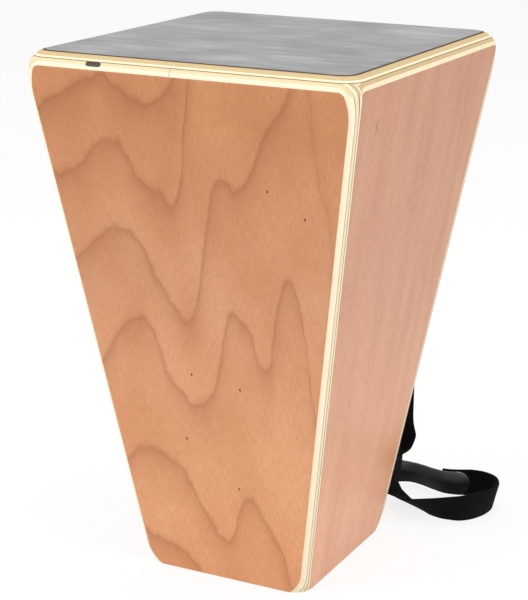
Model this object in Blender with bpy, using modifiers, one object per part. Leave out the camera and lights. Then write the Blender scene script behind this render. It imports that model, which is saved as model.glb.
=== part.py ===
"""Conga cajon: a tapered plywood box drum, open underneath, with a carrying strap on its back.

Metres, +Z up. The origin is the centre of the base, on the floor; the front faces -Y.
"""

import math

import bmesh
import bpy
from mathutils import Matrix, Vector

# Box: outer sizes measured to the sharp corners, before the edges are rounded
HEIGHT = 0.500
BASE_WIDTH = 0.167
BASE_DEPTH = 0.183
TOP_WIDTH = 0.326
TOP_DEPTH = 0.342
PANEL = 0.012
PLATE = 0.0057
GLUE = 0.0003

# Rounding: along the upright edges, at their two ends, and round the playing edge
EDGE_ROUND = 0.008
TOP_CORNER = 0.028
BASE_CORNER = 0.019
TOP_ROUND = 0.014
TOP_EASE = 0.040
BASE_EASE = 0.020
CORNER_STEPS = 8
ROUND_STEPS = 9
EASE_STEPS = 5

# Glued strips in the corners and under the plate, and the blocks behind the strap screws
STRIP = 0.018
STRIP_FOOT = 0.010
BLOCK_WIDTH = 0.050
BLOCK_HEIGHT = 0.036
BLOCK = 0.015

# Strap buttons: where they sit on the back panel, and their turned shape
UPPER_X = 0.072
UPPER_DROP = 0.070
LOWER_X = 0.0
LOWER_Z = 0.045
FELT = 0.0015
FELT_R = 0.0085
BUTTON_FLANGE_R = 0.0070
BUTTON_FLANGE = 0.0020
BUTTON_NECK_R = 0.0040
BUTTON_NECK = 0.0070
BUTTON_HEAD_R = 0.0080
BUTTON_HEAD = 0.0040
SCREW_R = 0.00175
SCREW_HEAD_R = 0.0036
SCREW_HEAD = 0.0022
SCREW_LENGTH = 0.035
SCREW_POINT = 0.004
CLEARANCE = 0.0003
TURN_STEPS = 24

# Strap
WEBBING_WIDTH = 0.030
WEBBING = 0.0018
TAB_WIDTH = 0.027
TAB = 0.0026
TAB_OVERHANG = 0.014
TAB_HOLE_CLEARANCE = 0.0008
SLIT_WIDTH = 0.0012
SLIT_LENGTH = 0.008
UPPER_TAB_DROP = 0.098
TAB_BEND = 0.015
TAB_BEND_STEPS = 5
TAB_PLUMB_STEPS = 6
LAP = 0.030
LAP_GAP = 0.0003
ROUTE_STEPS = 5

# The lower tab from its button to its rounded end, and the webbing from the upper lap to the lower one.
# Each line is the middle of the strap (x, y, z, mm), then the way its width points: turn and lift, degrees.
LOWER_TAB_ROUTE = [
    (18, 107.5, 43.5, 90, 82),
    (36, 117, 39, 110, 86),
    (46, 136, 33, 170, 87),
    (47.5, 159, 26.5, -170, 86),
    (49, 180, 20.5, -140, 82),
    (55.5, 197, 16.6, -100, 76),
    (68, 205, 15.0, -80, 73),
    (82, 203, 14.9, -75, 73),
    (96, 198, 15.1, -76, 75),
    (110, 194.5, 15.3, -80, 80),
    (123, 197, 15.4, -85, 84),
    (135.5, 203, 15.4, -90, 86),
]
WEBBING_ROUTE = [
    (72, 161.8, 312, 0, 0),
    (72, 162.4, 275, 0, 0),
    (72, 162.8, 235, -2, 0),
    (72.2, 163, 190, -8, 0),
    (72.5, 163, 134, -14, 0),
    (72.8, 163.2, 112, -17, 0),
    (73.3, 163.5, 96, -20, 0),
    (73.5, 163.8, 87, -16, 0),
    (73.6, 164, 79, -5, 0),
    (73.7, 164, 74, 3, 0),
    (73.7, 164, 69.5, -8, 0),
    (73.5, 164, 65, -24, 0),
    (72.4, 164, 60, -46, 0),
    (71.4, 164, 56, -66, 0),
    (69.6, 164, 52, -84, 0),
    (68, 163.8, 44, -91, 0),
    (66.7, 163.2, 33, -93, 0),
    (66.1, 162, 22, -90, 0),
    (66.2, 160.8, 14.5, -89, 0),
    (68, 160, 9, -100, 9),
    (75.4, 155.9, 7, -114, 20),
    (85, 147, 8, -117, 26),
    (94.3, 138.2, 9.1, -118, 31),
    (103.2, 132.6, 10.4, -117, 37),
    (111.2, 129.4, 12, -116, 45),
    (121.4, 128, 13.3, -113, 54),
    (131, 128.2, 14.3, -108, 62),
    (142.6, 131, 15.3, -95, 72),
    (152, 136.5, 15.4, -70, 80),
    (160, 146, 15.4, -50, 84),
    (166.2, 156.5, 15.3, -28, 81),
    (170.3, 168, 15.2, -12, 78),
    (171.5, 182, 15.1, 5, 76),
    (164.5, 199, 15.3, 15, 84),
    (150, 208.2, 15.4, -88, 84),
    (136, 207.3, 15.4, -86, 84),
]

MM = 0.001


def clear_scene():
    for thing in list(bpy.data.objects):
        bpy.data.objects.remove(thing, do_unlink=True)


def material(name, colour, roughness, metallic=0.0):
    made = bpy.data.materials.new(name)
    made.use_nodes = True
    shader = made.node_tree.nodes["Principled BSDF"]
    shader.inputs["Base Color"].default_value = (*colour, 1.0)
    shader.inputs["Roughness"].default_value = roughness
    shader.inputs["Metallic"].default_value = metallic
    return made


def put(name, mesh, finish, collection, place=None):
    """Adds an object to its collection; place is its matrix in the world."""
    thing = bpy.data.objects.new(name, mesh)
    collection.objects.link(thing)
    if finish:
        mesh.materials.append(finish)
    if place is not None:
        thing.matrix_world = place
    return thing


def to_mesh(bm, name):
    bmesh.ops.recalc_face_normals(bm, faces=bm.faces[:])
    mesh = bpy.data.meshes.new(name)
    bm.to_mesh(mesh)
    bm.free()
    return mesh


def skin(rings, name):
    """A closed mesh through rings of equally many points, its two ends filled flat."""
    bm = bmesh.new()
    loops = [[bm.verts.new(point) for point in ring] for ring in rings]
    count = len(rings[0])
    for low, high in zip(loops, loops[1:]):
        for i in range(count):
            j = (i + 1) % count
            bm.faces.new((low[i], low[j], high[j], high[i]))
    bm.faces.new(loops[0])
    bm.faces.new(loops[-1])
    return to_mesh(bm, name)


# Sizes that follow from the box

def half_width(z):
    return BASE_WIDTH / 2 + (TOP_WIDTH - BASE_WIDTH) / 2 * z / HEIGHT


def half_depth(z):
    return BASE_DEPTH / 2 + (TOP_DEPTH - BASE_DEPTH) / 2 * z / HEIGHT


LEAN_X = math.atan2((TOP_WIDTH - BASE_WIDTH) / 2, HEIGHT)
LEAN_Y = math.atan2((TOP_DEPTH - BASE_DEPTH) / 2, HEIGHT)
PANEL_TOP = HEIGHT - PLATE - GLUE


def inner_half_width(z):
    return half_width(z) - PANEL / math.cos(LEAN_X)


def inner_half_depth(z):
    return half_depth(z) - PANEL / math.cos(LEAN_Y)


def rounded_half(half, lean, z):
    """Half the box at height z, where the top edge's round takes it in."""
    centre_z = HEIGHT - TOP_ROUND
    if z <= centre_z - TOP_ROUND * math.sin(lean):
        return half(z)
    back = TOP_ROUND / math.tan((math.pi / 2 - lean) / 2)
    return half(HEIGHT) - back + math.sqrt(max(TOP_ROUND**2 - (z - centre_z) ** 2, 0.0))


def corner_radius(z):
    """The upright edge's radius in plan, which grows towards both ends."""
    up = max((z - (HEIGHT - TOP_EASE)) / TOP_EASE, 0.0)
    down = max((BASE_EASE - z) / BASE_EASE, 0.0)
    return EDGE_ROUND + (TOP_CORNER - EDGE_ROUND) * up**2 + (BASE_CORNER - EDGE_ROUND) * down**2


def box_outline(z):
    """The box's outline at height z, as one ring of points."""
    hx = rounded_half(half_width, LEAN_X, z)
    hy = rounded_half(half_depth, LEAN_Y, z)
    taken = half_width(z) - hx
    radius = max(corner_radius(z) - taken, EDGE_ROUND / 2)
    ring = []
    for quarter, (sx, sy) in enumerate(((1, 1), (-1, 1), (-1, -1), (1, -1))):
        for step in range(CORNER_STEPS + 1):
            angle = math.radians(90 * (quarter + step / CORNER_STEPS))
            ring.append(
                (
                    sx * (hx - radius) + radius * math.cos(angle),
                    sy * (hy - radius) + radius * math.sin(angle),
                    z,
                )
            )
    return ring


def box_levels():
    """The heights of the box's rings, from the floor up."""
    low = [BASE_EASE * i / EASE_STEPS for i in range(EASE_STEPS + 1)]
    lean = max(LEAN_X, LEAN_Y)
    rounds = []
    for i in range(ROUND_STEPS + 1):
        angle = -lean + (math.pi / 2 + lean) * i / ROUND_STEPS
        rounds.append(HEIGHT - TOP_ROUND + TOP_ROUND * math.sin(angle))
    start = HEIGHT - TOP_EASE
    high = [start + (rounds[0] - start) * i / EASE_STEPS for i in range(EASE_STEPS)]
    return low + high + rounds


def box_piece(name, cuts):
    """The rounded box, kept on the back of each cutting plane (a point and an outward normal)."""
    bm = bmesh.new()
    source = skin([box_outline(z) for z in box_levels()], name + "_whole")
    bm.from_mesh(source)
    bpy.data.meshes.remove(source)
    for point, normal in cuts:
        cut = bmesh.ops.bisect_plane(
            bm,
            geom=bm.verts[:] + bm.edges[:] + bm.faces[:],
            dist=1e-7,
            plane_co=point,
            plane_no=normal,
            clear_outer=True,
        )
        edges = [e for e in cut["geom_cut"] if isinstance(e, bmesh.types.BMEdge)]
        bmesh.ops.edgeloop_fill(bm, edges=edges)
    return to_mesh(bm, name)


def tapered_bar(name, low_z, high_z, low, high):
    """A bar from one level rectangle (x0, x1, y0, y1) to another."""
    bm = bmesh.new()
    bmesh.ops.create_cube(bm, size=2.0)
    for vert in bm.verts:
        x0, x1, y0, y1 = high if vert.co.z > 0 else low
        vert.co = Vector(
            (
                x1 if vert.co.x > 0 else x0,
                y1 if vert.co.y > 0 else y0,
                high_z if vert.co.z > 0 else low_z,
            )
        )
    return to_mesh(bm, name)


def turned(name, profile, place, finish, collection):
    """A turned piece: its profile (radius, height) runs down the outside, spun about local Z."""
    mesh = bpy.data.meshes.new(name)
    closed = profile[0][0] > 0
    edges = [(i, i + 1) for i in range(len(profile) - 1)]
    if closed:
        edges.append((len(profile) - 1, 0))
    mesh.from_pydata([(r, 0, h) for r, h in profile], edges, [])
    thing = put(name, mesh, finish, collection, place)
    spin = thing.modifiers.new("Turn", "SCREW")
    spin.steps = TURN_STEPS
    spin.render_steps = TURN_STEPS
    spin.use_merge_vertices = True
    spin.merge_threshold = 1e-6
    return thing


def cut_away(thing, cutter, cutters):
    cutters.objects.link(cutter)
    cutter.hide_render = True
    cutter.display_type = "WIRE"
    hole = thing.modifiers.new(cutter.name, "BOOLEAN")
    hole.operation = "DIFFERENCE"
    hole.solver = "EXACT"
    hole.object = cutter


def drill(name, radius, low, high, place):
    """A round cutter along local Z."""
    bm = bmesh.new()
    bmesh.ops.create_cone(
        bm, cap_ends=True, segments=TURN_STEPS, radius1=radius, radius2=radius, depth=high - low
    )
    bmesh.ops.translate(bm, verts=bm.verts, vec=(0, 0, (low + high) / 2))
    cutter = bpy.data.objects.new(name, to_mesh(bm, name))
    cutter.matrix_world = place
    return cutter


# The strap as a swept flat band

def width_way(turn, lift):
    turn, lift = math.radians(turn), math.radians(lift)
    return Vector(
        (math.cos(lift) * math.cos(turn), math.cos(lift) * math.sin(turn), math.sin(lift))
    )


def smooth(values, steps):
    """A smooth curve through vectors, with the given number of steps between two of them."""
    out = []
    for i in range(len(values) - 1):
        a = values[max(i - 1, 0)]
        b, c = values[i], values[i + 1]
        d = values[min(i + 2, len(values) - 1)]
        for k in range(steps):
            t = k / steps
            out.append(
                0.5
                * (
                    2 * b
                    + (c - a) * t
                    + (2 * a - 5 * b + 4 * c - d) * t**2
                    + (3 * b - a - 3 * c + d) * t**3
                )
            )
    out.append(values[-1])
    return out


def band_frames(points, ways):
    """At each point: the middle, the width's direction and the face's direction."""
    frames = []
    for i, point in enumerate(points):
        along = (points[min(i + 1, len(points) - 1)] - points[max(i - 1, 0)]).normalized()
        face = along.cross(ways[i]).normalized()
        frames.append((point, face.cross(along).normalized(), face))
    return frames


def band_mesh(name, frames, widths, thickness):
    rings = []
    for (point, wide, face), width in zip(frames, widths):
        w, t = wide * width / 2, face * thickness / 2
        rings.append([point - w - t, point + w - t, point + w + t, point - w + t])
    return skin(rings, name)


def end_round(distance, width):
    """The band's width at a distance from its half-round end."""
    r = width / 2
    if distance >= r:
        return width
    return 2 * math.sqrt(max(r * r - (r - distance) ** 2, (0.25 * r) ** 2))


def lengths_along(points):
    total = [0.0]
    for a, b in zip(points, points[1:]):
        total.append(total[-1] + (b - a).length)
    return total


def seat(x, z):
    """The frame on the back panel's outer face: X across, Y down the panel, Z outward."""
    out = Vector((0, math.cos(LEAN_Y), -math.sin(LEAN_Y)))
    down = Vector((0, -math.sin(LEAN_Y), -math.cos(LEAN_Y)))
    frame = Matrix((Vector((1, 0, 0)), down, out)).transposed().to_4x4()
    frame.translation = Vector((x, half_depth(z), z))
    return frame


FELT_BASE = GLUE
BUTTON_BASE = FELT_BASE + FELT + GLUE
BUTTON_TOP = BUTTON_BASE + BUTTON_FLANGE + BUTTON_NECK + BUTTON_HEAD
TAB_SEAT = BUTTON_BASE + BUTTON_FLANGE + BUTTON_NECK * 0.47
BORE_R = SCREW_R + CLEARANCE


def make_box(box, finishes):
    """The four panels and the playing plate, all cut from one rounded box."""
    plate_low = Vector((0, 0, HEIGHT - PLATE))
    panel_high = Vector((0, 0, PANEL_TOP))
    up = Vector((0, 0, 1))
    put("playing_plate", box_piece("playing_plate", [(plate_low, -up)]), finishes["plate"], box)
    for name, side in (("front_panel", -1), ("back_panel", 1)):
        inner = Vector((0, side * inner_half_depth(0), 0))
        inward = Vector((0, -side * math.cos(LEAN_Y), math.sin(LEAN_Y)))
        mesh = box_piece(name, [(panel_high, up), (inner, inward)])
        put(name, mesh, finishes["beech"], box)
    for name, side in (("left_panel", -1), ("right_panel", 1)):
        cuts = [(panel_high, up)]
        inner = Vector((side * inner_half_width(0), 0, 0))
        cuts.append((inner, Vector((-side * math.cos(LEAN_X), 0, math.sin(LEAN_X)))))
        for end in (-1, 1):
            butt = Vector((0, end * (inner_half_depth(0) - GLUE / math.cos(LEAN_Y)), 0))
            cuts.append((butt, Vector((0, end * math.cos(LEAN_Y), -math.sin(LEAN_Y)))))
        put(name, box_piece(name, cuts), finishes["beech"], box)


def make_strips(box, finishes):
    """The four upright corner strips, and the four ledge strips under the plate."""
    names = {(-1, -1): "front_left", (1, -1): "front_right", (-1, 1): "back_left", (1, 1): "back_right"}

    def corner(z, sx, sy):
        x = inner_half_width(z) - GLUE
        y = inner_half_depth(z) - GLUE
        xs = sorted((sx * x, sx * (x - STRIP)))
        ys = sorted((sy * y, sy * (y - STRIP)))
        return (*xs, *ys)

    top = PANEL_TOP
    for (sx, sy), where in names.items():
        mesh = tapered_bar(
            "corner_strip", STRIP_FOOT, top, corner(STRIP_FOOT, sx, sy), corner(top, sx, sy)
        )
        put(f"{where}_corner_strip", mesh, finishes["spruce"], box)

    def ledge(z, where, side):
        reach_x = inner_half_width(z) - STRIP - 2 * GLUE
        reach_y = inner_half_depth(z) - STRIP - 2 * GLUE
        if where == "y":
            y = inner_half_depth(z) - GLUE
            return (-reach_x, reach_x, *sorted((side * y, side * (y - STRIP))))
        x = inner_half_width(z) - GLUE
        return (*sorted((side * x, side * (x - STRIP))), -reach_y, reach_y)

    for name, where, side in (("front", "y", -1), ("back", "y", 1), ("left", "x", -1), ("right", "x", 1)):
        low = top - STRIP
        mesh = tapered_bar("ledge_strip", low, top, ledge(low, where, side), ledge(top, where, side))
        put(f"{name}_ledge_strip", mesh, finishes["spruce"], box)


def make_button(prefix, place, box, cutters, finishes):
    """A strap button on its felt washer, its screw, and the block that the screw bites."""
    flange = BUTTON_BASE + BUTTON_FLANGE
    head = flange + BUTTON_NECK
    dome = BUTTON_HEAD * 0.45
    flare = BUTTON_HEAD * 0.2
    button = [
        (SCREW_HEAD_R + CLEARANCE, BUTTON_TOP),
        (BUTTON_HEAD_R * 0.72, BUTTON_TOP - dome * 0.25),
        (BUTTON_HEAD_R * 0.93, BUTTON_TOP - dome),
        (BUTTON_HEAD_R, head + flare * 1.6),
        (BUTTON_HEAD_R * 0.96, head + flare),
        (BUTTON_NECK_R * 1.15, head),
        (BUTTON_NECK_R, head - BUTTON_NECK * 0.12),
        (BUTTON_NECK_R, flange + BUTTON_NECK * 0.15),
        (BUTTON_NECK_R * 1.2, flange),
        (BUTTON_FLANGE_R * 0.94, flange),
        (BUTTON_FLANGE_R, flange - BUTTON_FLANGE * 0.3),
        (BUTTON_FLANGE_R, BUTTON_BASE),
        (BORE_R, BUTTON_BASE),
        (BORE_R, BUTTON_TOP - SCREW_HEAD - CLEARANCE),
        (SCREW_HEAD_R + CLEARANCE, BUTTON_TOP - SCREW_HEAD * 0.3),
    ]
    turned(f"{prefix}_strap_button", button, place, finishes["steel"], box)
    felt = [
        (FELT_R, FELT_BASE + FELT),
        (FELT_R, FELT_BASE),
        (BORE_R, FELT_BASE),
        (BORE_R, FELT_BASE + FELT),
    ]
    turned(f"{prefix}_felt_washer", felt, place, finishes["felt"], box)
    tip = BUTTON_TOP - SCREW_LENGTH
    screw = [
        (0.0, BUTTON_TOP - SCREW_HEAD * 0.1),
        (SCREW_HEAD_R * 0.8, BUTTON_TOP - SCREW_HEAD * 0.1),
        (SCREW_HEAD_R, BUTTON_TOP - SCREW_HEAD * 0.25),
        (SCREW_R, BUTTON_TOP - SCREW_HEAD),
        (SCREW_R, tip + SCREW_POINT),
        (0.0, tip),
    ]
    turned(f"{prefix}_button_screw", screw, place, finishes["steel"], box)
    bm = bmesh.new()
    bmesh.ops.create_cube(bm, size=1.0)
    bmesh.ops.scale(bm, verts=bm.verts, vec=(BLOCK_WIDTH, BLOCK_HEIGHT, BLOCK))
    bmesh.ops.translate(bm, verts=bm.verts, vec=(0, 0, -PANEL - GLUE - BLOCK / 2))
    name = f"{prefix}_backing_block"
    block = put(name, to_mesh(bm, name), finishes["spruce"], box, place)
    deep = -PANEL - 2 * GLUE - BLOCK
    for thing in (block, bpy.data.objects["back_panel"]):
        cut_away(thing, drill(f"{prefix}_screw_hole_{thing.name}", BORE_R, deep, GLUE, place), cutters)


def button_hole(tab, name, place, slit_way, cutters):
    """The round hole over the button's neck, with the slit that lets its head through."""
    radius = BUTTON_NECK_R + TAB_HOLE_CLEARANCE
    low, high = TAB_SEAT - 2 * TAB, TAB_SEAT + 2 * TAB
    cut_away(tab, drill(f"{name}_hole", radius, low, high, place), cutters)
    bm = bmesh.new()
    bmesh.ops.create_cube(bm, size=1.0)
    bmesh.ops.scale(bm, verts=bm.verts, vec=(SLIT_LENGTH + radius, SLIT_WIDTH, high - low))
    bmesh.ops.translate(bm, verts=bm.verts, vec=((SLIT_LENGTH + radius) / 2, 0, TAB_SEAT))
    slit = bpy.data.objects.new(f"{name}_slit", to_mesh(bm, f"{name}_slit"))
    slit.matrix_world = place @ Matrix.Rotation(slit_way, 4, "Z")
    cut_away(tab, slit, cutters)


def upper_tab_frames(place):
    """Flat on the button's neck, then eased over to hang plumb."""
    points = []
    for share in (-1, -0.75, -0.45, 0, 0.6, 1):
        points.append(place @ Vector((0, share * TAB_OVERHANG, TAB_SEAT)))
    for i in range(1, TAB_BEND_STEPS + 1):
        lean = LEAN_Y * (1 - i / TAB_BEND_STEPS)
        way = Vector((0, -math.sin(lean), -math.cos(lean)))
        points.append(points[-1] + way * TAB_BEND / TAB_BEND_STEPS)
    plumb = Vector((0, 0, -1)) * (UPPER_TAB_DROP - TAB_OVERHANG - TAB_BEND)
    for i in range(TAB_PLUMB_STEPS):
        points.append(points[-1] + plumb / TAB_PLUMB_STEPS)
    return points


def tab_widths(points):
    run = lengths_along(points)
    return [min(end_round(s, TAB_WIDTH), end_round(run[-1] - s, TAB_WIDTH)) for s in run]


def fine_end(points, ways, width):
    """Adds points near both ends, so that their round outlines have enough corners."""
    run = lengths_along(points)
    wanted = [width / 2 * (1 - math.cos(math.radians(a))) for a in (15, 30, 45, 60, 75, 90)]
    wanted += [run[-1] - s for s in wanted]
    between = [s for s in run if width / 2 < s < run[-1] - width / 2]
    marks = sorted(set([0.0, run[-1]] + wanted + between))
    out_points, out_ways = [], []
    for s in marks:
        i = max(j for j in range(len(run)) if run[j] <= s + 1e-9)
        i = min(i, len(run) - 2)
        t = (s - run[i]) / (run[i + 1] - run[i])
        out_points.append(points[i].lerp(points[i + 1], t))
        out_ways.append(ways[i].lerp(ways[i + 1], t).normalized())
    return out_points, out_ways


def route(rows):
    points = smooth([Vector(row[:3]) * MM for row in rows], ROUTE_STEPS)
    vectors = [width_way(row[3], row[4]) for row in rows]
    for i in range(1, len(vectors)):
        if vectors[i].dot(vectors[i - 1]) < 0:
            vectors[i] = -vectors[i]
    return points, [v.normalized() for v in smooth(vectors, ROUTE_STEPS)]


def make_strap(upper, lower, box, cutters, finishes):
    # Upper tab: hangs from its button, its width across the panel
    across = Vector((1, 0, 0))
    raw = upper_tab_frames(upper)
    points, ways = fine_end(raw, [across] * len(raw), TAB_WIDTH)
    upper_frames = band_frames(points, ways)
    mesh = band_mesh("upper_strap_tab", upper_frames, tab_widths(points), TAB)
    tab = put("upper_strap_tab", mesh, finishes["leather"], box)
    button_hole(tab, "upper_tab", upper, math.radians(90), cutters)

    # Lower tab: sideways off its button, then round and down to stand on the floor
    points, ways = route(LOWER_TAB_ROUTE)
    panel_up = Vector((0, math.sin(LEAN_Y), math.cos(LEAN_Y)))
    start = [lower @ Vector((share * TAB_OVERHANG, 0, TAB_SEAT)) for share in (-1, -0.5, 0, 0.6)]
    points, ways = fine_end(start + points, [panel_up] * len(start) + ways, TAB_WIDTH)
    lower_frames = band_frames(points, ways)
    mesh = band_mesh("lower_strap_tab", lower_frames, tab_widths(points), TAB)
    tab = put("lower_strap_tab", mesh, finishes["leather"], box)
    button_hole(tab, "lower_tab", lower, 0.0, cutters)

    # Webbing: laid on the back of each tab at its lap, where it is sewn
    offset = (TAB + WEBBING) / 2 + LAP_GAP
    run = lengths_along([f[0] for f in upper_frames])
    head = [f for f, s in zip(upper_frames, run) if run[-1] - LAP <= s]
    head_points = [p + face * offset for p, wide, face in head]
    run = lengths_along([f[0] for f in lower_frames])
    tail = [f for f, s in zip(lower_frames, run) if run[-1] - LAP <= s <= run[-1] - TAB_WIDTH * 0.1]
    tail_points = [p - face * offset for p, wide, face in reversed(tail)]
    points, ways = route(WEBBING_ROUTE)
    points = head_points + points + tail_points
    ways = [wide for p, wide, face in head] + ways + [wide for p, wide, face in reversed(tail)]
    for i in range(1, len(ways)):
        if ways[i].dot(ways[i - 1]) < 0:
            ways[i] = -ways[i]
    frames = band_frames(points, ways)
    mesh = band_mesh("strap_webbing", frames, [WEBBING_WIDTH] * len(frames), WEBBING)
    put("strap_webbing", mesh, finishes["webbing"], box)


clear_scene()
BOX = bpy.data.collections.new("conga_cajon")
CUTTERS = bpy.data.collections.new("cutters")
for made in (BOX, CUTTERS):
    bpy.context.scene.collection.children.link(made)
FINISHES = {
    "beech": material("beech_plywood", (0.62, 0.36, 0.19), 0.42),
    "plate": material("film_faced_plywood", (0.10, 0.10, 0.11), 0.38),
    "spruce": material("spruce", (0.72, 0.55, 0.34), 0.65),
    "steel": material("black_steel", (0.05, 0.05, 0.055), 0.35, 1.0),
    "felt": material("black_felt", (0.02, 0.02, 0.02), 0.95),
    "leather": material("black_leather", (0.03, 0.03, 0.032), 0.45),
    "webbing": material("black_webbing", (0.012, 0.012, 0.014), 0.85),
}
make_box(BOX, FINISHES)
make_strips(BOX, FINISHES)
UPPER = seat(UPPER_X, HEIGHT - UPPER_DROP)
LOWER = seat(LOWER_X, LOWER_Z)
make_button("upper", UPPER, BOX, CUTTERS, FINISHES)
make_button("lower", LOWER, BOX, CUTTERS, FINISHES)
make_strap(UPPER, LOWER, BOX, CUTTERS, FINISHES)
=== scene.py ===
"""Looks of a conga cajon: a tapered plywood box drum with a strap on its back, in its studio setting."""

import math

import bmesh
import bpy
from mathutils import Matrix, Vector


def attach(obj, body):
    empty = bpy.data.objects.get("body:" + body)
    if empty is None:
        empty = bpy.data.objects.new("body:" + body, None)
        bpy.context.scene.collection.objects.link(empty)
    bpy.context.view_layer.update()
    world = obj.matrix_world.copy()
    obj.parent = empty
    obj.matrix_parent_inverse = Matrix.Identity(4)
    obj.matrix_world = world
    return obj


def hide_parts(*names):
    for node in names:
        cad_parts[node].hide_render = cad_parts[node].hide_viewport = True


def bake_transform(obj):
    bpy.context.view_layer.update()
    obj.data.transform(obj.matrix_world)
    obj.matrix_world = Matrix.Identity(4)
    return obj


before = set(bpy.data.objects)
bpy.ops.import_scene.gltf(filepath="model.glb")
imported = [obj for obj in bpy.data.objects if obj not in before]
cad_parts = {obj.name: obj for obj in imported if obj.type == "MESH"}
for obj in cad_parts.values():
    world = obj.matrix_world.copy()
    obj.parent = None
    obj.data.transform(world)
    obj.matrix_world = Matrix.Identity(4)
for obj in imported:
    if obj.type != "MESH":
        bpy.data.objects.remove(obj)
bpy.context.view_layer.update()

# Studio camera. A long lens looks down on the drum from its front right, from 1.7 m away, the way a
# catalogue shows it. It stands on a tripod that leans by half a degree.

CAMERA_TURN = 26.7
CAMERA_RISE = 16.43
CAMERA_LEAN = 0.484
CAMERA_DISTANCE = 1.675
CAMERA_AIM = Vector((0, 0, 0.25))
CAMERA_LENS = 105.25
CAMERA_SHIFT = (-0.0102, 0.0021)

turn = math.radians(CAMERA_TURN)
rise = math.radians(CAMERA_RISE)
lean = math.radians(CAMERA_LEAN)
back = Vector((math.sin(turn) * math.cos(rise), -math.cos(turn) * math.cos(rise), math.sin(rise)))
right = Vector((math.cos(turn), math.sin(turn), 0))
up = back.cross(right)
right, up = right * math.cos(lean) + up * math.sin(lean), up * math.cos(lean) - right * math.sin(lean)
camera = bpy.data.objects.new("studio_camera", bpy.data.cameras.new("studio_camera"))
camera.data.lens = CAMERA_LENS
camera.data.shift_x, camera.data.shift_y = CAMERA_SHIFT
camera.matrix_world = Matrix((right, up, back)).transposed().to_4x4()
camera.location = CAMERA_AIM + back * CAMERA_DISTANCE
bpy.context.scene.collection.objects.link(camera)
bpy.context.scene.camera = camera
bpy.context.scene.view_settings.view_transform = "Standard"

# Studio. White paper sweeps out under the drum and behind it, lit until it shows white. Three soft
# boxes stand round the drum: a large one at the front left, one at the right, and one overhead.

FLOOR_SIZE = 24.0
FLOOR_DROP = 0.0006
FLOOR_WHITE = (0.86, 0.86, 0.86, 1.0)
FLOOR_GLOW = 1.06
FLOOR_GLOW_SHARE = 0.78
PAPER_WHITE = (0.955, 0.955, 0.955, 1.0)
ROOM_WHITE = (1.0, 0.99, 0.98, 1.0)
ROOM_LIGHT = 0.62
SOFT_BOXES = (
    ("front_soft_box", (-1.5, -2.1, 1.7), 1.5, 34.0),
    ("right_soft_box", (2.3, -0.7, 1.3), 1.3, 20.0),
    ("overhead_soft_box", (0.2, 0.3, 2.3), 1.4, 12.0),
)


def feed(tree, socket, value):
    """Links an output to a socket, or types a plain value in."""
    if isinstance(value, bpy.types.NodeSocket):
        tree.links.new(value, socket)
    else:
        socket.default_value = value


def reckon(tree, operation, *values):
    """One step of arithmetic."""
    step = tree.nodes.new("ShaderNodeMath")
    step.operation = operation
    for socket, value in zip(step.inputs, values):
        feed(tree, socket, value)
    return step.outputs[0]


def seen_directly(tree):
    """1 for what the lens, a gloss or a glass shows of this surface, 0 for the light that it gives."""
    rays = tree.nodes.new("ShaderNodeLightPath")
    lens_or_gloss = reckon(tree, "MAXIMUM", rays.outputs["Is Camera Ray"], rays.outputs["Is Glossy Ray"])
    return reckon(tree, "MAXIMUM", lens_or_gloss, rays.outputs["Is Transmission Ray"])


def show(tree, share, first, second, out):
    """Gives an output the first shader where the share is 0, and the second where it is 1."""
    mixed = tree.nodes.new("ShaderNodeMixShader")
    for socket, source in zip(mixed.inputs, (share, first.outputs[0], second.outputs[0])):
        tree.links.new(source, socket)
    tree.links.new(mixed.outputs[0], out.inputs["Surface"])


room = bpy.data.worlds.new("studio_room")
room.use_nodes = True
bpy.context.scene.world = room
tree = room.node_tree
tree.nodes.clear()
paper = tree.nodes.new("ShaderNodeBackground")
paper.inputs["Color"].default_value = PAPER_WHITE
light = tree.nodes.new("ShaderNodeBackground")
light.inputs["Color"].default_value = ROOM_WHITE
light.inputs["Strength"].default_value = ROOM_LIGHT
show(tree, seen_directly(tree), light, paper, tree.nodes.new("ShaderNodeOutputWorld"))

bpy.ops.mesh.primitive_plane_add(size=FLOOR_SIZE, location=(0, 0, -FLOOR_DROP))
floor = bpy.context.object
floor.name = "studio_floor"
white = bpy.data.materials.new("white_paper")
white.use_nodes = True
tree = white.node_tree
tree.nodes.clear()
matt = tree.nodes.new("ShaderNodeBsdfDiffuse")
matt.inputs["Color"].default_value = FLOOR_WHITE
glow = tree.nodes.new("ShaderNodeEmission")
glow.inputs["Strength"].default_value = FLOOR_GLOW
glow_share = reckon(tree, "MULTIPLY", seen_directly(tree), FLOOR_GLOW_SHARE)
show(tree, glow_share, matt, glow, tree.nodes.new("ShaderNodeOutputMaterial"))
floor.data.materials.append(white)

for name, place, size, power in SOFT_BOXES:
    lamp = bpy.data.objects.new(name, bpy.data.lights.new(name, "AREA"))
    lamp.data.size = size
    lamp.data.energy = power
    lamp.location = place
    lamp.rotation_euler = (CAMERA_AIM - Vector(place)).to_track_quat("-Z", "Y").to_euler()
    bpy.context.scene.collection.objects.link(lamp)

# Drum box: four tapered panels of 12 mm beech-faced plywood, glued up and sanded round. The front and
# back panels cover the edges of the side panels, so their plies show down the upright corners.

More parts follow.
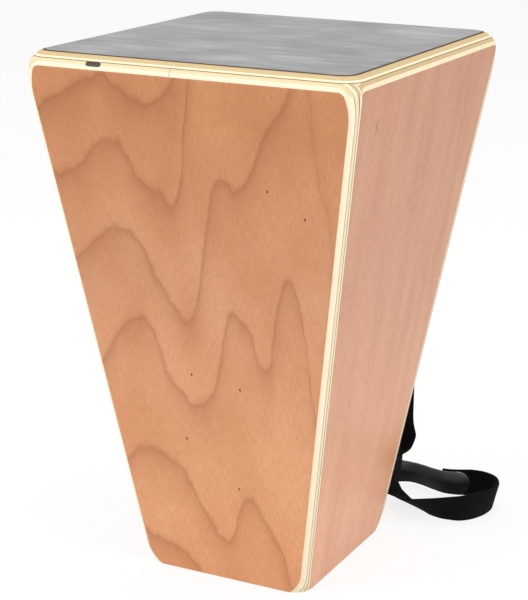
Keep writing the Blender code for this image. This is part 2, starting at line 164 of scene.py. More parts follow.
HEIGHT = 0.500
BASE_WIDTH = 0.167
BASE_DEPTH = 0.183
TOP_WIDTH = 0.326
TOP_DEPTH = 0.342
PANEL = 0.012
PANEL_GAP = 0.0003
SEAM_FILL = 0.00025
PLATE = 0.0057
EDGE_ROUND = 0.008
TOP_CORNER = 0.028
BASE_CORNER = 0.019
TOP_ROUND = 0.014
TOP_EASE = 0.040
BASE_EASE = 0.020
CORNER_STEPS = 20
ROUND_STEPS = 20
EASE_STEPS = 12
BOX_SHARP = 40
LEAN_X = math.atan2((TOP_WIDTH - BASE_WIDTH) / 2, HEIGHT)
LEAN_Y = math.atan2((TOP_DEPTH - BASE_DEPTH) / 2, HEIGHT)
MILLIMETRES = 1000


def half_width(z):
    return BASE_WIDTH / 2 + (TOP_WIDTH - BASE_WIDTH) / 2 * z / HEIGHT


def half_depth(z):
    return BASE_DEPTH / 2 + (TOP_DEPTH - BASE_DEPTH) / 2 * z / HEIGHT


def rounded_half(half, lean_by, z):
    """Half the box at height z, where the top edge's round takes it in."""
    centre_z = HEIGHT - TOP_ROUND
    if z <= centre_z - TOP_ROUND * math.sin(lean_by):
        return half(z)
    inset = TOP_ROUND / math.tan((math.pi / 2 - lean_by) / 2)
    return half(HEIGHT) - inset + math.sqrt(max(TOP_ROUND**2 - (z - centre_z) ** 2, 0.0))


def box_outline(z):
    """The box's outline at height z, as one ring of points."""
    hx = rounded_half(half_width, LEAN_X, z)
    hy = rounded_half(half_depth, LEAN_Y, z)
    high = max((z - (HEIGHT - TOP_EASE)) / TOP_EASE, 0.0)
    low = max((BASE_EASE - z) / BASE_EASE, 0.0)
    corner = EDGE_ROUND + (TOP_CORNER - EDGE_ROUND) * high**2 + (BASE_CORNER - EDGE_ROUND) * low**2
    radius = max(corner - (half_width(z) - hx), EDGE_ROUND / 2)
    ring = []
    for quarter, (sx, sy) in enumerate(((1, 1), (-1, 1), (-1, -1), (1, -1))):
        for step in range(CORNER_STEPS + 1):
            angle = math.radians(90 * (quarter + step / CORNER_STEPS))
            x = sx * (hx - radius) + radius * math.cos(angle)
            y = sy * (hy - radius) + radius * math.sin(angle)
            ring.append((x, y, z))
    return ring


def new_piece(name, bm, sharp_over, *finishes):
    """The object of a mesh, smooth except at edges that bend by more than sharp_over degrees."""
    mesh = bpy.data.meshes.new(name)
    bm.to_mesh(mesh)
    bm.free()
    mesh.shade_smooth()
    if sharp_over:
        mesh.set_sharp_from_angle(angle=math.radians(sharp_over))
    for finish in finishes:
        mesh.materials.append(finish)
    thing = bpy.data.objects.new(name, mesh)
    bpy.context.scene.collection.objects.link(thing)
    return thing


def box_piece(name, cuts, finish):
    """The rounded box, kept on the back of each cutting plane (a point and an outward normal)."""
    levels = [BASE_EASE * i / EASE_STEPS for i in range(EASE_STEPS + 1)]
    first = HEIGHT - TOP_ROUND - TOP_ROUND * math.sin(LEAN_Y)
    ease = HEIGHT - TOP_EASE
    levels += [ease + (first - ease) * i / EASE_STEPS for i in range(EASE_STEPS)]
    for i in range(ROUND_STEPS + 1):
        angle = -LEAN_Y + (math.pi / 2 + LEAN_Y) * i / ROUND_STEPS
        levels.append(HEIGHT - TOP_ROUND + TOP_ROUND * math.sin(angle))
    bm = bmesh.new()
    rings = [[bm.verts.new(point) for point in box_outline(z)] for z in levels]
    count = len(rings[0])
    for under, over in zip(rings, rings[1:]):
        for i in range(count):
            j = (i + 1) % count
            bm.faces.new((under[i], under[j], over[j], over[i]))
    bm.faces.new(rings[0])
    bm.faces.new(rings[-1])
    for point, normal in cuts:
        geometry = bm.verts[:] + bm.edges[:] + bm.faces[:]
        cut = bmesh.ops.bisect_plane(
            bm, geom=geometry, dist=1e-7, plane_co=point, plane_no=normal, clear_outer=True
        )
        edges = [e for e in cut["geom_cut"] if isinstance(e, bmesh.types.BMEdge)]
        bmesh.ops.edgeloop_fill(bm, edges=edges)
    bmesh.ops.recalc_face_normals(bm, faces=bm.faces[:])
    thing = new_piece(name, bm, BOX_SHARP, finish)
    flats = thing.modifiers.new("Flat faces stay flat", "WEIGHTED_NORMAL")
    flats.keep_sharp = True
    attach(thing, "root")
    return thing


def new_finish(name):
    """A material, with its node tree and its shader."""
    made = bpy.data.materials.new(name)
    made.use_nodes = True
    return made, made.node_tree, made.node_tree.nodes["Principled BSDF"]


def object_place(tree):
    """The place on the object, in metres."""
    return tree.nodes.new("ShaderNodeTexCoord").outputs["Object"]


def split(tree, place):
    """The three values of a place."""
    parts = tree.nodes.new("ShaderNodeSeparateXYZ")
    tree.links.new(place, parts.inputs[0])
    return parts.outputs


def spread(tree, *parts):
    """A place for noise from three parts: each is a plain value, or a value with its scale."""
    joined = tree.nodes.new("ShaderNodeCombineXYZ")
    for socket, part in zip(joined.inputs, parts):
        scaled = isinstance(part, tuple)
        feed(tree, socket, reckon(tree, "MULTIPLY", *part) if scaled else part)
    return joined.outputs[0]


def mottle(tree, where, scale=1.0, detail=3.0, roughness=0.5):
    """Soft noise, 0 to 1."""
    cloud = tree.nodes.new("ShaderNodeTexNoise")
    feed(tree, cloud.inputs["Vector"], where)
    cloud.inputs["Scale"].default_value = scale
    cloud.inputs["Detail"].default_value = detail
    cloud.inputs["Roughness"].default_value = roughness
    return cloud.outputs["Fac"]


def summed(tree, first, second):
    """The sum of two products."""
    return reckon(tree, "ADD", reckon(tree, "MULTIPLY", *first), reckon(tree, "MULTIPLY", *second))


def off_by(tree, value, middle, reach):
    """How far a value is from a middle, in reaches."""
    return reckon(tree, "DIVIDE", reckon(tree, "SUBTRACT", value, middle), reach)


def fading(tree, distance, reach):
    """1 at no distance and about a third of that at one reach; both may be below 0 together."""
    return reckon(tree, "EXPONENT", reckon(tree, "DIVIDE", distance, -reach))


def rising(tree, value, low, high):
    """0 up to the low value and 1 from the high value on, with a straight rise between them."""
    ramp = tree.nodes.new("ShaderNodeMapRange")
    for socket, given in (("Value", value), ("From Min", low), ("From Max", high)):
        feed(tree, ramp.inputs[socket], given)
    return ramp.outputs[0]


def dye(red, green, blue):
    """A colour as a picture shows it, 0 to 255, in the renderer's own scale."""
    scaled = []
    for value in (red, green, blue):
        share_of = value / 255
        scaled.append(share_of / 12.92 if share_of <= 0.04045 else ((share_of + 0.055) / 1.055) ** 2.4)
    return (*scaled, 1.0)


def stain(tree, share_of, first, second, way="MIX"):
    """Mixes a share of a second colour into the first, plainly or in another way of blending."""
    mixed = tree.nodes.new("ShaderNodeMix")
    mixed.data_type = "RGBA"
    mixed.blend_type = way
    feed(tree, mixed.inputs["Factor"], share_of)
    feed(tree, mixed.inputs[6], first)
    feed(tree, mixed.inputs[7], second)
    return mixed.outputs[2]


def steps_of(tree, value, stops):
    """A colour ramp from (place, colour) pairs."""
    ramp = tree.nodes.new("ShaderNodeValToRGB")
    elements = ramp.color_ramp.elements
    while len(elements) < len(stops):
        elements.new(0.5)
    for element, (place_at, colour) in zip(elements, stops):
        element.position = place_at
        element.color = colour
    feed(tree, ramp.inputs[0], value)
    return ramp.outputs[0]


def dyed_steps(tree, value, rows):
    """A colour ramp from rows of a place and a dye's three values."""
    return steps_of(tree, value, [(row[0], dye(*row[1:])) for row in rows])


def relief(tree, shader, height, depth, sharpness):
    """Raises the surface by height times depth, in metres."""
    bump = tree.nodes.new("ShaderNodeBump")
    bump.inputs["Strength"].default_value = sharpness
    bump.inputs["Distance"].default_value = depth
    feed(tree, bump.inputs["Height"], height)
    tree.links.new(bump.outputs[0], shader.inputs["Normal"])


def hand_curve(tree, value, inputs, outputs, points):
    """A curve drawn through listed (input, output) pairs, between the stated limits of both."""
    low, high = inputs
    bottom, top = outputs
    curve = tree.nodes.new("ShaderNodeFloatCurve")
    line = curve.mapping.curves[0]
    scaled = [((a - low) / (high - low), (b - bottom) / (top - bottom)) for a, b in points]
    line.points[0].location = scaled[0]
    line.points[1].location = scaled[-1]
    for point in scaled[1:-1]:
        line.points.new(*point)
    curve.mapping.update()
    feed(tree, curve.inputs["Value"], off_by(tree, value, low, high - low))
    return reckon(tree, "MULTIPLY_ADD", curve.outputs[0], top - bottom, bottom)


# The growth lines of the flat-cut veneer, drawn across the panel: side and height, in millimetres.
# The rim line runs up the panel: height and side. Each line's shade has a crisp edge, a soft fall below
# it and a short blur above it, with these reaches. A slow drift makes the lines waver.
GROWTH_LINES = (
    ((-170, 440), (-137, 457), (-107, 472), (-80, 484), (-61, 471), (-40, 462), (-22, 469), (-6, 493),
     (8, 560)),
    ((-170, 372), (-133, 391), (-111, 400), (-93, 420), (-79, 427), (-67, 421), (-50, 394), (-31, 381),
     (-19, 374), (-10, 393), (-2, 443), (6, 487), (14, 560)),
    ((-170, 275), (-122, 313), (-108, 325), (-92, 339), (-76, 346), (-61, 339), (-35, 290), (-14, 264),
     (-3, 286), (6, 326), (16, 371), (22, 392), (32, 402), (45, 394), (59, 409), (73, 441), (101, 486),
     (112, 560)),
    ((-150, 160), (-114, 204), (-82, 250), (-67, 259), (-54, 256), (-39, 206), (-25, 187), (-10, 181),
     (5, 195), (15, 228), (23, 261), (31, 279), (43, 268), (63, 229), (70, 259), (79, 298), (88, 316),
     (96, 300), (104, 226), (112, 120)),
    ((-120, 85), (-94, 110), (-82, 123), (-68, 127), (-53, 122), (-38, 112), (-24, 90), (-8, 58), (5, 42),
     (13, 46), (23, 77), (33, 92), (46, 78), (60, 48), (76, -10)),
    ((-120, 40), (-90, 35), (-70, 28), (-52, 24), (-31, 8), (-12, -30)),
)
RIM_LINE = ((0, 100), (209, 117), (287, 127), (342, 131), (378, 130), (425, 121), (500, 118))
LINE_SIDES = (-170, 170)
LINE_HEIGHTS = (-60, 560)
LINE_CRISP = 5.0
LINE_SOFT = 24.0
LINE_ABOVE = 3.4
LINE_SHADE = 0.72
RIM_HEIGHTS = (0, 500)
RIM_SIDES = (80, 180)
RIM_REACH = 2.5
RIM_SHADE = 0.45
SIDE_DRIFT = 7.0
HEIGHT_DRIFT = 16.0


def growth_line(tree, side, height, points):
    """The shade of one growth line, 0 to 1: crisp along the line itself and fading out below it."""
    level = hand_curve(tree, side, LINE_SIDES, LINE_HEIGHTS, points)
    gap = reckon(tree, "SUBTRACT", level, height)
    under = reckon(tree, "MAXIMUM", gap, 0.0)
    over = fading(tree, reckon(tree, "MINIMUM", gap, 0.0), -LINE_ABOVE)
    shade = summed(tree, (fading(tree, under, LINE_CRISP), 0.30), (fading(tree, under, LINE_SOFT), 0.70))
    return reckon(tree, "MULTIPLY", shade, over)


def cathedral_beech(tree, side, height, seed):
    """Flat-cut beech veneer: growth lines in arches and deep troughs, over a soft mottle."""
    drift = reckon(tree, "SUBTRACT", mottle(tree, spread(tree, (side, 0.07), (height, 0.045), seed)), 0.5)
    wavy_side = reckon(tree, "MULTIPLY_ADD", drift, SIDE_DRIFT, side)
    wavy_height = reckon(tree, "MULTIPLY_ADD", drift, HEIGHT_DRIFT, height)
    shade = 0.0
    for points in GROWTH_LINES:
        shade = reckon(tree, "MAXIMUM", shade, growth_line(tree, wavy_side, wavy_height, points))
    rim = hand_curve(tree, wavy_height, RIM_HEIGHTS, RIM_SIDES, RIM_LINE)
    past = reckon(tree, "ABSOLUTE", reckon(tree, "SUBTRACT", wavy_side, rim))
    rim_shade = reckon(tree, "MULTIPLY", fading(tree, past, RIM_REACH), RIM_SHADE)
    shade = reckon(tree, "MAXIMUM", shade, rim_shade)
    haze = mottle(tree, spread(tree, (side, 0.020), (height, 0.011), seed + 5))
    colour = dyed_steps(tree, haze, ((0.35, 229, 160, 115), (0.65, 241, 176, 132)))
    return stain(tree, reckon(tree, "MULTIPLY", shade, LINE_SHADE), colour, dye(184, 114, 74))


def straight_beech(tree, side, height, seed):
    """Quarter-cut beech veneer: pinker, with faint straight bands up the panel."""
    broad = mottle(tree, spread(tree, (side, 0.036), (height, 0.006), seed))
    close = mottle(tree, spread(tree, (side, 0.30), (height, 0.010), seed + 3))
    tone = summed(tree, (broad, 0.75), (close, 0.25))
    return dyed_steps(tree, tone, ((0.30, 228, 170, 140), (0.50, 243, 186, 156), (0.72, 252, 200, 170)))


DARK_FLECK_OVER = 0.70
DARK_FLECK = 0.38
PALE_FLECK_UNDER = 0.29
PALE_FLECK = 0.28


def flecks(tree, side, height, colour, seed):
    """Beech's fine vertical grain and its short dark and pale flecks, over a colour."""
    grain = mottle(tree, spread(tree, (side, 1.5), (height, 0.10), seed), detail=4.0, roughness=0.6)
    colour = stain(tree, reckon(tree, "MULTIPLY_ADD", grain, 1.1, -0.30), colour, dye(176, 117, 80))
    pores = mottle(tree, spread(tree, (side, 1.1), (height, 0.30), seed + 7), detail=1.0, roughness=0.4)
    dark = reckon(tree, "MULTIPLY", reckon(tree, "GREATER_THAN", pores, DARK_FLECK_OVER), DARK_FLECK)
    pale = reckon(tree, "MULTIPLY", reckon(tree, "LESS_THAN", pores, PALE_FLECK_UNDER), PALE_FLECK)
    colour = stain(tree, pale, colour, dye(236, 190, 150))
    return stain(tree, dark, colour, dye(122, 74, 48)), grain


def reaches(tree, side, height, middle, reach, power):
    """How far a place is from the middle of an oval, 1 on its outline; a high power squares it off."""
    parts = []
    for value, at, by in zip((side, height), middle, reach):
        off = reckon(tree, "ABSOLUTE", off_by(tree, value, at, by))
        parts.append(reckon(tree, "POWER", off, power))
    return reckon(tree, "ADD", *parts)


def marked(tree, side, height, colour, marks):
    """Small flaws in the wood, and painted shade where they are gaps: (middle, reach, colour) each, in
    millimetres.
    """
    for middle, reach, tint in marks:
        inside = reckon(tree, "LESS_THAN", reaches(tree, side, height, middle, reach, 4.0), 1.0)
        colour = stain(tree, inside, colour, tint)
    return colour


SMUDGE_AT = (84.0, 84.0)
SMUDGE_REACH = (36.0, 42.0)
SMUDGE_SHADE = 0.55


def side_smudge(tree, side, height, colour):
    """A soft brown cloud low on the side panel, near its back edge."""
    cloud = fading(tree, reaches(tree, side, height, SMUDGE_AT, SMUDGE_REACH, 2.0), 1.0)
    return stain(tree, reckon(tree, "MULTIPLY", cloud, SMUDGE_SHADE), colour, dye(206, 142, 92))


# Ply edges by depth under the outer face, in shares of the panel's 12 mm: the face veneer, then cross
# and long plies in turn, with their thin glue lines. The tones are painted shade: they multiply the veneer
# by height, foot to top, darker towards the top.
CREAM = (251, 240, 208)
TAN = (208, 182, 134)
GLUE_LINE = (168, 132, 92)
PLY_STREAK = dye(196, 160, 112)
UPRIGHT_PLIES = (
    (0.046, 246, 230, 194), (0.120, *CREAM), (0.300, 255, 248, 222), (0.325, *CREAM), (0.345, 180, 148, 104),
    (0.375, 190, 160, 114), (0.400, 247, 234, 198), (0.620, 240, 222, 184), (0.650, 140, 108, 76),
    (0.705, 118, 88, 60), (0.735, 250, 236, 206), (0.940, 250, 230, 200), (0.965, 196, 146, 112),
    (1.0, 196, 146, 112),
)
INNER_TOP_PLIES = (
    (0.405, *GLUE_LINE), (0.42, *CREAM), (0.60, *CREAM), (0.61, *GLUE_LINE), (0.63, *TAN), (0.81, *TAN),
    (0.82, *GLUE_LINE), (0.84, *CREAM), (0.96, *CREAM), (1.0, 170, 118, 84),
)
SIDE_TOP_PLIES = (
    (0.046, *CREAM), (0.175, 248, 232, 190), (0.185, *GLUE_LINE), (0.200, *TAN), (0.395, *TAN),
    *INNER_TOP_PLIES,
)
FRONT_TOP_PLIES = (
    (0.046, *CREAM), (0.155, 255, 247, 220), (0.180, 238, 218, 172), (0.21, 240, 222, 180),
    (0.395, 232, 212, 166), *INNER_TOP_PLIES,
)
# Painted shade by height for the front and back panels and for the side panels: darker towards the top.
FRONT_PAINTED_SHADE = (
    (0.12, (1.0, 1.0, 0.955, 1.0)), (0.58, (0.84, 0.845, 0.86, 1.0)), (0.90, (0.74, 0.677, 0.57, 1.0)),
)
SIDE_PAINTED_SHADE = (
    (0.12, (1.0, 0.98, 0.905, 1.0)), (0.58, (0.80, 0.745, 0.695, 1.0)), (0.90, (0.72, 0.641, 0.57, 1.0)),
)
FACE_VENEER = 0.040
VENEER_BLUR = 0.006
TOP_PLIES_FROM = HEIGHT - TOP_ROUND - 0.003
TOP_PLIES_TO = HEIGHT - TOP_ROUND
FRONT_AND_BACK = (0, BASE_DEPTH / 2, LEAN_Y, cathedral_beech, FRONT_PAINTED_SHADE, FRONT_TOP_PLIES)
SIDES = (1, BASE_WIDTH / 2, LEAN_X, straight_beech, SIDE_PAINTED_SHADE, SIDE_TOP_PLIES)


def plywood(name, panels, sign, seed, low_stain=None, marks=(), voids=(), slits=()):
    """Beech-faced plywood for one panel; sign is the side that its outer face looks to."""
    across_axis, half_base, lean_by, veneer, tone, top_plies = panels
    made, tree, shader = new_finish(name)
    raw = split(tree, object_place(tree))
    side = reckon(tree, "MULTIPLY", raw[across_axis], MILLIMETRES)
    height = reckon(tree, "MULTIPLY", raw[2], MILLIMETRES)
    level_in = reckon(tree, "SUBTRACT", half_base, reckon(tree, "MULTIPLY", raw[1 - across_axis], sign))
    depth = summed(tree, (level_in, math.cos(lean_by)), (raw[2], math.sin(lean_by)))
    depth_share = reckon(tree, "DIVIDE", depth, PANEL)

    colour, grain = flecks(tree, side, height, veneer(tree, side, height, seed), seed)
    if low_stain:
        colour = low_stain(tree, side, height, colour)
    # Painted shade: the veneer is multiplied darker towards the top of the panel.
    painted_height_shade = steps_of(tree, reckon(tree, "DIVIDE", raw[2], HEIGHT), tone)
    colour = marked(tree, side, height, stain(tree, 1.0, colour, painted_height_shade, "MULTIPLY"), marks)

    streak = mottle(tree, spread(tree, (raw[0], 900), (raw[1], 900), (raw[2], 60)))
    streak = reckon(tree, "MULTIPLY_ADD", streak, 0.4, -0.14)
    end_grain = mottle(tree, spread(tree, (raw[across_axis], 260), 0, (depth, 2600)))
    end_grain = reckon(tree, "MULTIPLY_ADD", end_grain, 0.7, -0.22)
    upright = stain(tree, streak, dyed_steps(tree, depth_share, UPRIGHT_PLIES), PLY_STREAK)
    level = stain(tree, end_grain, dyed_steps(tree, depth_share, top_plies), PLY_STREAK)
    near_top = rising(tree, raw[2], TOP_PLIES_FROM, TOP_PLIES_TO)
    plies = marked(tree, side, height, stain(tree, near_top, upright, level), voids)
    plies = marked(tree, reckon(tree, "MULTIPLY", depth, MILLIMETRES), height, plies, slits)

    veneer_end = reckon(tree, "MULTIPLY_ADD", grain, 0.012, FACE_VENEER)
    edge = rising(tree, depth_share, reckon(tree, "SUBTRACT", veneer_end, VENEER_BLUR), veneer_end)
    tree.links.new(stain(tree, edge, colour, plies), shader.inputs["Base Color"])
    tree.links.new(reckon(tree, "MULTIPLY_ADD", grain, 0.14, 0.36), shader.inputs["Roughness"])
    shader.inputs["Specular IOR Level"].default_value = 0.4
    relief(tree, shader, grain, 0.00006, 0.35)
    return made


FLECK = dye(118, 70, 44)
VOID_SHADE = dye(52, 20, 12)
FLECK_PLACES = ((-16, 211), (-27, 144), (33, 204), (24, 101), (108, 375), (74, 396))
front_marks = [(middle, (0.9, 1.3), FLECK) for middle in FLECK_PLACES]
# Voids in the top plies, painted dark as painted shade in the gaps, and a pale tick.
front_voids = [
    ((-87.5, 492.4), (7.6, 2.0), VOID_SHADE),
    ((-93.0, 492.6), (2.0, 1.7), dye(44, 18, 12)),
    ((-12, 491), (0.45, 3.0), dye(196, 164, 120)),
]
# A thin slit in the upright plies, painted dark grey as painted shade in the gap.
front_slits = [((8.15, 132.5), (0.55, 10.5), dye(74, 68, 64))]
side_marks = [((-115.1, 451.5), (0.7, 6.5), dye(138, 92, 70))]
front_flaws = (front_marks, front_voids, front_slits)
front_ply = plywood("front_beech_plywood", FRONT_AND_BACK, -1, 2.0, None, *front_flaws)
back_ply = plywood("back_beech_plywood", FRONT_AND_BACK, 1, 31.0)
right_ply = plywood("right_beech_plywood", SIDES, 1, 11.0, side_smudge, side_marks)
left_ply = plywood("left_beech_plywood", SIDES, -1, 47.0)

panel_top = HEIGHT - PLATE - PANEL_GAP + SEAM_FILL
inner_depth = BASE_DEPTH / 2 - PANEL / math.cos(LEAN_Y)
inner_width = BASE_WIDTH / 2 - PANEL / math.cos(LEAN_X)
under_plate = (Vector((0, 0, panel_top)), Vector((0, 0, 1)))
for name, side, finish in (("front", -1, front_ply), ("back", 1, back_ply)):
    inward = (Vector((0, side * inner_depth, 0)), Vector((0, -side * math.cos(LEAN_Y), math.sin(LEAN_Y))))
    panel = box_piece(f"{name}_board", [under_plate, inward], finish)
    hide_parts(f"{name}_panel")
for name, side, finish in (("left", -1, left_ply), ("right", 1, right_ply)):
    inward = (Vector((side * inner_width, 0, 0)), Vector((-side * math.cos(LEAN_X), 0, math.sin(LEAN_X))))
    cuts = [under_plate, inward]
    for end in (-1, 1):
        butt = Vector((0, end * (inner_depth - PANEL_GAP / math.cos(LEAN_Y)), 0))
        cuts.append((butt, Vector((0, end * math.cos(LEAN_Y), -math.sin(LEAN_Y)))))
    panel = box_piece(f"{name}_board", cuts, finish)
    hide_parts(f"{name}_panel")

# Playing plate: thin plywood with a hard dark film on top, glued over the four panels and sanded round
# with them, so the film ends in a fine dark edge and the pale plies show all the way round.

# The film and the plies by depth under the top, in shares of PLATE_STACK.
PLATE_STACK = 0.006
PLATE_PLIES = (
    (0.04, 46, 40, 36), (0.11, 66, 54, 44), (0.135, 160, 134, 98), (0.17, 212, 188, 142),
    (0.55, 216, 192, 146), (0.575, *GLUE_LINE), (0.60, *CREAM), (0.84, 250, 238, 204),
    (0.88, 150, 118, 80), (0.95, 126, 94, 62),
)
FILM_ENDS_FROM = 0.036
FILM_ENDS_TO = 0.048

film_ply, tree, shader = new_finish("film_faced_plywood")
where = object_place(tree)
x, y, z = split(tree, where)
below = off_by(tree, HEIGHT, z, PLATE_STACK)
smear = mottle(tree, spread(tree, (x, 15), (y, 84), 0), detail=6.0, roughness=0.62)
cloud = summed(tree, (smear, 0.6), (mottle(tree, where, 14), 0.4))
film = dyed_steps(tree, cloud, ((0.38, 82, 82, 85), (0.5, 114, 114, 117), (0.63, 154, 154, 156)))
ply_end = mottle(tree, spread(tree, (x, 260), (y, 260), (below, 2)))
ply_end = reckon(tree, "MULTIPLY_ADD", ply_end, 0.4, -0.14)
plies = stain(tree, ply_end, dyed_steps(tree, below, PLATE_PLIES), dye(176, 140, 94))
is_ply = rising(tree, below, FILM_ENDS_FROM, FILM_ENDS_TO)
tree.links.new(stain(tree, is_ply, film, plies), shader.inputs["Base Color"])
gloss = reckon(tree, "MULTIPLY_ADD", smear, 0.22, 0.22)
tree.links.new(reckon(tree, "MULTIPLY_ADD", is_ply, 0.4, gloss), shader.inputs["Roughness"])
tree.links.new(reckon(tree, "MULTIPLY_ADD", is_ply, -0.4, 0.5), shader.inputs["Specular IOR Level"])
relief(tree, shader, smear, 0.00012, 0.25)

over_panels = (Vector((0, 0, HEIGHT - PLATE)), Vector((0, 0, -1)))
plate = box_piece("plate", [over_panels], film_ply)
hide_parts("playing_plate")

# Inside timber: planed spruce strips glued down the corners and under the plate, and a block behind
# each strap screw. They are seen only from below.

spruce, tree, shader = new_finish("planed_spruce")
x, y, z = split(tree, object_place(tree))
growth = mottle(tree, spread(tree, (x, 420), (y, 420), (z, 26)))
spruce_colour = dyed_steps(tree, growth, ((0.35, 196, 152, 96), (0.5, 226, 192, 140), (0.7, 238, 212, 166)))
tree.links.new(spruce_colour, shader.inputs["Base Color"])
shader.inputs["Roughness"].default_value = 0.6
relief(tree, shader, growth, 0.0001, 0.3)
for name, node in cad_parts.items():
    if name.endswith(("_strip", "_block")):
        node.data.materials.clear()
        node.data.materials.append(spruce)

# Strap buttons: turned black steel, each screwed through a felt washer into the back panel. The slotless
# head of the wood screw lies in the button's countersink.

UPPER_BUTTON = Vector((0.072, half_depth(0.430), 0.430))
LOWER_BUTTON = Vector((0.0, half_depth(0.045), 0.045))
TURN_STEPS = 64
TURN_SHARP = 32
FELT = 0.0015
FELT_R = 0.0085
BUTTON_BASE = 2 * PANEL_GAP + FELT
FLANGE_R = 0.0070
FLANGE = 0.0020
NECK_R = 0.0040
NECK = 0.0070
KNOB_R = 0.0080
KNOB = 0.0040
KNOB_ROUND = 0.0022
KNOB_SWEEP = 135
KNOB_STEPS = 8
SCREW_R = 0.00175
SCREW_HEAD_R = 0.0036
SCREW_HEAD = 0.0022
SCREW_LENGTH = 0.035
SCREW_POINT = 0.004
DOME_STEPS = 5
BUTTON_TOP = BUTTON_BASE + FLANGE + NECK + KNOB


def seat(button):
    """The frame on the back panel at a button: X across, Y down the panel, Z outward."""
    outward = Vector((0, math.cos(LEAN_Y), -math.sin(LEAN_Y)))
    down = Vector((0, -math.sin(LEAN_Y), -math.cos(LEAN_Y)))
    made = Matrix((Vector((1, 0, 0)), down, outward)).transposed().to_4x4()
    made.translation = button
    return made


def turned(name, profile, place, finish):
    """A turned piece from its profile (radius, height), spun about the button's axis."""
    bm = bmesh.new()
    verts = [bm.verts.new((radius, 0, height)) for radius, height in profile]
    edges = [bm.edges.new(pair) for pair in zip(verts, verts[1:])]
    if profile[0][0] > 0:
        edges.append(bm.edges.new((verts[-1], verts[0])))
    axis = {"cent": (0, 0, 0), "axis": (0, 0, 1)}
    bmesh.ops.spin(bm, geom=verts + edges, angle=2 * math.pi, steps=TURN_STEPS, **axis)
    bmesh.ops.remove_doubles(bm, verts=bm.verts, dist=1e-6)
    bmesh.ops.recalc_face_normals(bm, faces=bm.faces[:])
    bm.transform(place)
    return new_piece(name, bm, TURN_SHARP, finish)


steel_black, tree, shader = new_finish("black_steel")
speck = mottle(tree, object_place(tree), 2600)
tree.links.new(dyed_steps(tree, speck, ((0.35, 26, 26, 28), (0.7, 44, 44, 47))), shader.inputs["Base Color"])
tree.links.new(reckon(tree, "MULTIPLY_ADD", speck, 0.2, 0.24), shader.inputs["Roughness"])
shader.inputs["Metallic"].default_value = 0.7
relief(tree, shader, speck, 0.00005, 0.3)

felt_black, tree, shader = new_finish("black_felt")
fibre = mottle(tree, object_place(tree), 1800, detail=6.0, roughness=0.7)
tree.links.new(dyed_steps(tree, fibre, ((0.3, 14, 14, 15), (0.7, 46, 46, 48))), shader.inputs["Base Color"])
shader.inputs["Roughness"].default_value = 0.95
relief(tree, shader, fibre, 0.0004, 0.8)

neck_base = BUTTON_BASE + FLANGE
neck_top = neck_base + NECK
knob_centre = neck_top + KNOB - KNOB_ROUND
bore = SCREW_R + PANEL_GAP
cup = SCREW_HEAD_R + PANEL_GAP
button_profile = [(cup, BUTTON_TOP)]
for step in range(KNOB_STEPS + 1):
    angle = math.radians(90 - KNOB_SWEEP * step / KNOB_STEPS)
    radius = KNOB_R - KNOB_ROUND + KNOB_ROUND * math.cos(angle)
    button_profile.append((radius, knob_centre + KNOB_ROUND * math.sin(angle)))
button_profile += [(NECK_R * 1.25, neck_top + 0.0004), (NECK_R, neck_top - NECK * 0.12)]
button_profile += [(NECK_R, neck_base + NECK * 0.15), (NECK_R * 1.2, neck_base)]
button_profile += [(FLANGE_R * 0.94, neck_base), (FLANGE_R, neck_base - FLANGE * 0.3)]
button_profile += [(FLANGE_R, BUTTON_BASE), (bore, BUTTON_BASE)]
button_profile += [(bore, BUTTON_TOP - SCREW_HEAD - PANEL_GAP), (cup, BUTTON_TOP - SCREW_HEAD * 0.3)]
felt_profile = [(FELT_R, PANEL_GAP + FELT), (FELT_R, PANEL_GAP), (bore, PANEL_GAP), (bore, PANEL_GAP + FELT)]
screw_profile = [(0.0, BUTTON_TOP - SCREW_HEAD * 0.02)]
for step in range(1, DOME_STEPS + 1):
    out = step / DOME_STEPS
    screw_profile.append((SCREW_HEAD_R * 0.92 * out, BUTTON_TOP - SCREW_HEAD * (0.02 + 0.16 * out**2)))
screw_profile += [(SCREW_HEAD_R, BUTTON_TOP - SCREW_HEAD * 0.28), (SCREW_R, BUTTON_TOP - SCREW_HEAD)]
screw_profile += [(SCREW_R, BUTTON_TOP - SCREW_LENGTH + SCREW_POINT), (0.0, BUTTON_TOP - SCREW_LENGTH)]

for which, button in (("upper", UPPER_BUTTON), ("lower", LOWER_BUTTON)):
    for short, node, profile, finish, slot in (
        ("button", "strap_button", button_profile, steel_black, "black_steel"),
        ("screw", "button_screw", screw_profile, steel_black, "black_steel"),
        ("felt", "felt_washer", felt_profile, felt_black, "black_felt"),
    ):
        piece = turned(f"{which}_{short}", profile, seat(button), finish)
        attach(piece, "root")
        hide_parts(f"{which}_{node}")

# Strap tabs: black grained leather, 27 mm wide, round at both ends. Each buttons over a strap button by
# a hole with a slit. The upper tab hangs down the back; the lower one curls out and lies on the floor.

TAB = 0.0026
TAB_WIDTH = 0.027
TAB_EDGE = TAB * 0.35
TAB_SEAT = 0.00739
TAB_OVERHANG = 0.014
TAB_BEND = 0.015
TAB_BEND_STEPS = 5
TAB_PLUMB_STEPS = 6
UPPER_TAB_DROP = 0.098
HOLE_R = 0.0048
HOLE_SIDES = 48
SLIT_WIDTH = 0.0012
SLIT_LENGTH = 0.008
CUTTER_DEPTH = TAB * 4
# How far from the tip the tab's cut edge gets its painted highlight.
TIP_HIGHLIGHT_REACH = TAB_WIDTH * 0.72
BAND_CORNERS = 4
BAND_SHARP = 50
ROUTE_STEPS = 8

# A tab's head lies flat about its button, at these shares of TAB_OVERHANG. Its round ends are drawn in
# steps of ROUND_END_STEP degrees, and stop at a tip of BLUNT_TIP times the width.
UPPER_HEAD = (-1, -0.75, -0.45, 0, 0.6, 1)
LOWER_HEAD = (-1, -0.5, 0, 0.6)
ROUND_END_STEP = 6
BLUNT_TIP = 0.12

